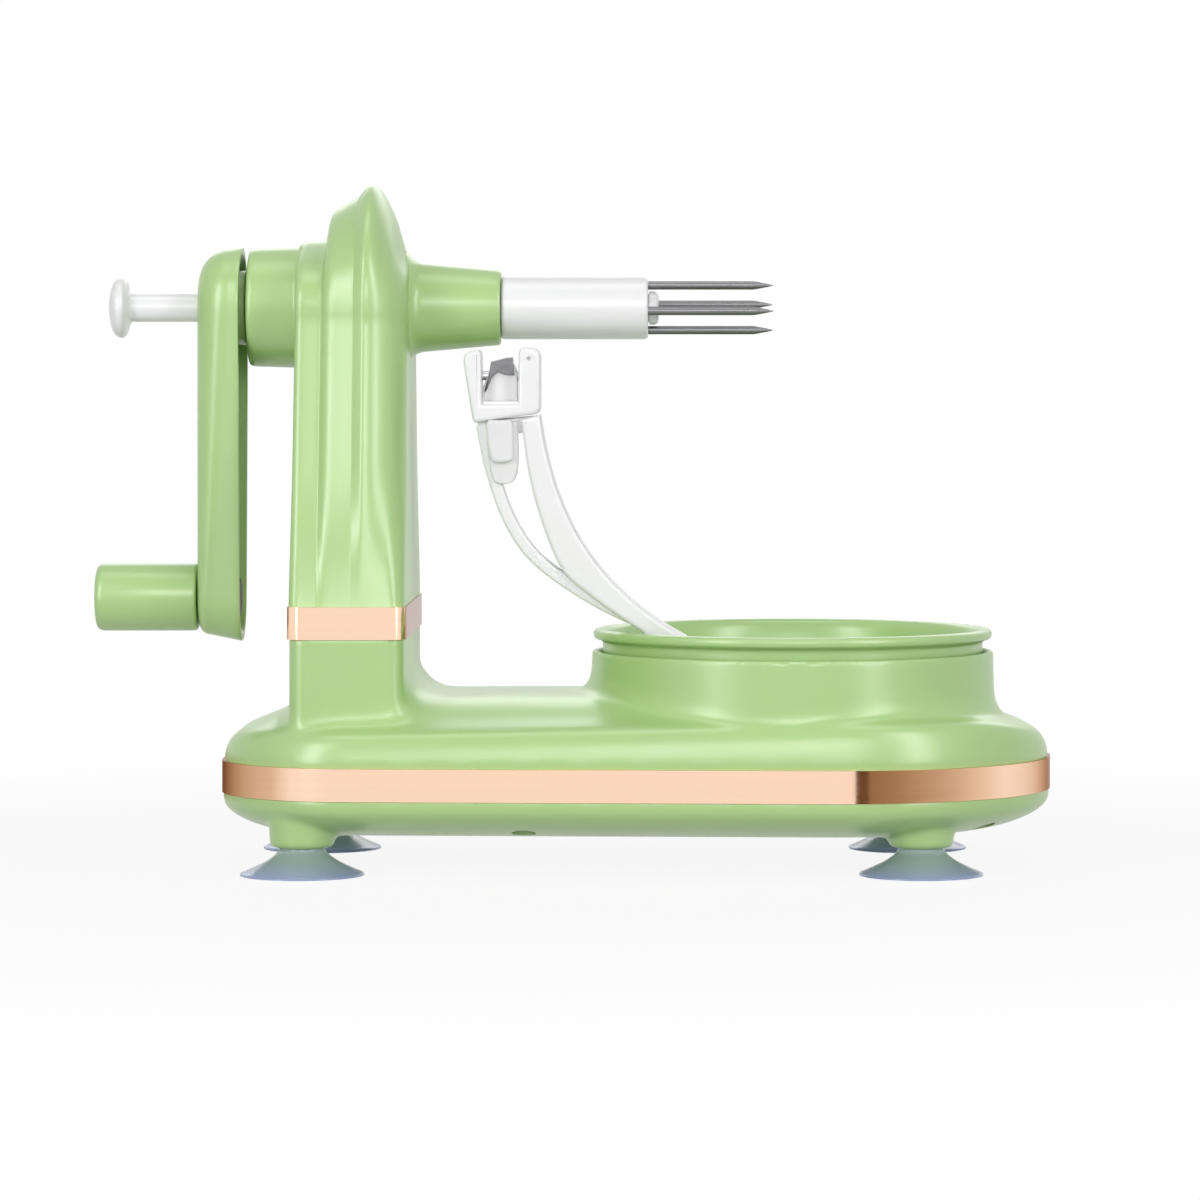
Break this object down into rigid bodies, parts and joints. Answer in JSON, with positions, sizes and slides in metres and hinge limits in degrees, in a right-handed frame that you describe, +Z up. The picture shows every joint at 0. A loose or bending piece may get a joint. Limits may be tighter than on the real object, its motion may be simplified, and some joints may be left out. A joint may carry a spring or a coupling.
{
  "type": "hand-cranked apple peeler",
  "caption": "Table-top apple peeler: a hand crank spins the fruit on a fork while a geared arm sweeps a peeling blade round it, on a suction-cup base with a round peel dish.",
  "frame": {"origin": "on the table, under the middle of the part's length and width", "axes": "+X from the crank handle towards the dish end, +Y from the front with the peeling arm to the back, +Z up"},
  "size_m": [0.2572, 0.1166, 0.1827],
  "materials": {
    "green_plastic": "satin moulded",
    "rose_gold_trim": "plated, mirror",
    "white_plastic": "gloss moulded",
    "steel": "drawn",
    "clear_silicone": "translucent",
    "gear_resin": "moulded"
  },
  "bodies": {
    "base": {"base_upper_shell": "green_plastic", "base_lower_shell": "green_plastic", "base_trim_band": "rose_gold_trim", "column_left_shell": "green_plastic", "column_right_shell": "green_plastic", "column_trim_band": "rose_gold_trim", "suction_cup_left_front": "clear_silicone", "suction_cup_left_back": "clear_silicone", "suction_cup_right_front": "clear_silicone", "suction_cup_right_back": "clear_silicone", "base_screws": "steel", "column_screws": "steel", "turntable_pivot": "steel", "idler_axles": "steel", "axle_clips": "steel", "left_spindle_bush": "gear_resin", "right_spindle_bush": "gear_resin", "turntable_screw": "steel"},
    "crank": {"spindle": "white_plastic", "spindle_worm": "gear_resin", "fork_prongs": "steel", "crank_arm": "green_plastic", "crank_set_screw": "steel", "handle_pin": "steel"},
    "handle": {"handle_grip": "green_plastic"},
    "ejector": {"ejector_rod": "white_plastic", "ejector_knob": "white_plastic", "ejector_tip": "white_plastic"},
    "drive_shaft": {"drive_shaft": "steel", "worm_wheel": "gear_resin", "drive_pinion": "gear_resin"},
    "first_idler": {"first_idler_gear": "gear_resin"},
    "second_idler": {"second_idler_gear": "gear_resin"},
    "turntable": {"turntable_dish": "green_plastic", "turntable_gear": "gear_resin", "turntable_cap": "green_plastic", "arm_hinge_pin": "steel", "arm_spring": "steel"},
    "peel_arm": {"peel_arm": "white_plastic", "blade_guard": "white_plastic", "blade_latch": "white_plastic", "blade_pivot_pin": "steel"},
    "blade_carrier": {"blade_carrier": "white_plastic", "peeling_blade": "steel"}
  },
  "joints": [
    {"name": "crank_turn", "type": "hinge", "parent": "base", "child": "crank", "pos_m": [-0.095, 0, 0.1494], "axis": [1, 0, 0], "range_deg": [0, 6480]},
    {"name": "handle_spin", "type": "hinge", "parent": "crank", "child": "handle", "pos_m": [-0.115, 0, 0.0713], "axis": [1, 0, 0], "continuous": true},
    {"name": "ejector_slide", "type": "slide", "parent": "crank", "child": "ejector", "axis": [1, 0, 0], "range_m": [0, 0.018]},
    {"name": "drive_shaft_turn", "type": "hinge", "parent": "base", "child": "drive_shaft", "pos_m": [-0.0567, 0.0155, 0.1], "axis": [0, 0, 1], "range_deg": [-540, 0]},
    {"name": "first_idler_turn", "type": "hinge", "parent": "base", "child": "first_idler", "pos_m": [-0.02696, 0.01152, 0.021], "axis": [0, 0, 1], "range_deg": [0, 442]},
    {"name": "second_idler_turn", "type": "hinge", "parent": "base", "child": "second_idler", "pos_m": [0.00232, -0.00369, 0.021], "axis": [0, 0, 1], "range_deg": [-442, 0]},
    {"name": "turntable_turn", "type": "hinge", "parent": "base", "child": "turntable", "pos_m": [0.0592, 0, 0.051], "axis": [0, 0, 1], "range_deg": [0, 180]},
    {"name": "arm_tilt", "type": "hinge", "parent": "turntable", "child": "peel_arm", "pos_m": [0.025, -0.02, 0.057], "axis": [0, 1, 0], "range_deg": [0, 34]},
    {"name": "blade_swivel", "type": "hinge", "parent": "peel_arm", "child": "blade_carrier", "pos_m": [-0.019, -0.02, 0.131], "axis": [1, 0, 0], "range_deg": [-20, 20]}
  ],
  "couplings": [
    {"joint": "drive_shaft_turn", "follows": "crank_turn", "ratio": -0.083333},
    {"joint": "first_idler_turn", "follows": "crank_turn", "ratio": 0.068182},
    {"joint": "second_idler_turn", "follows": "crank_turn", "ratio": -0.068182},
    {"joint": "turntable_turn", "follows": "crank_turn", "ratio": 0.027778}
  ]
}
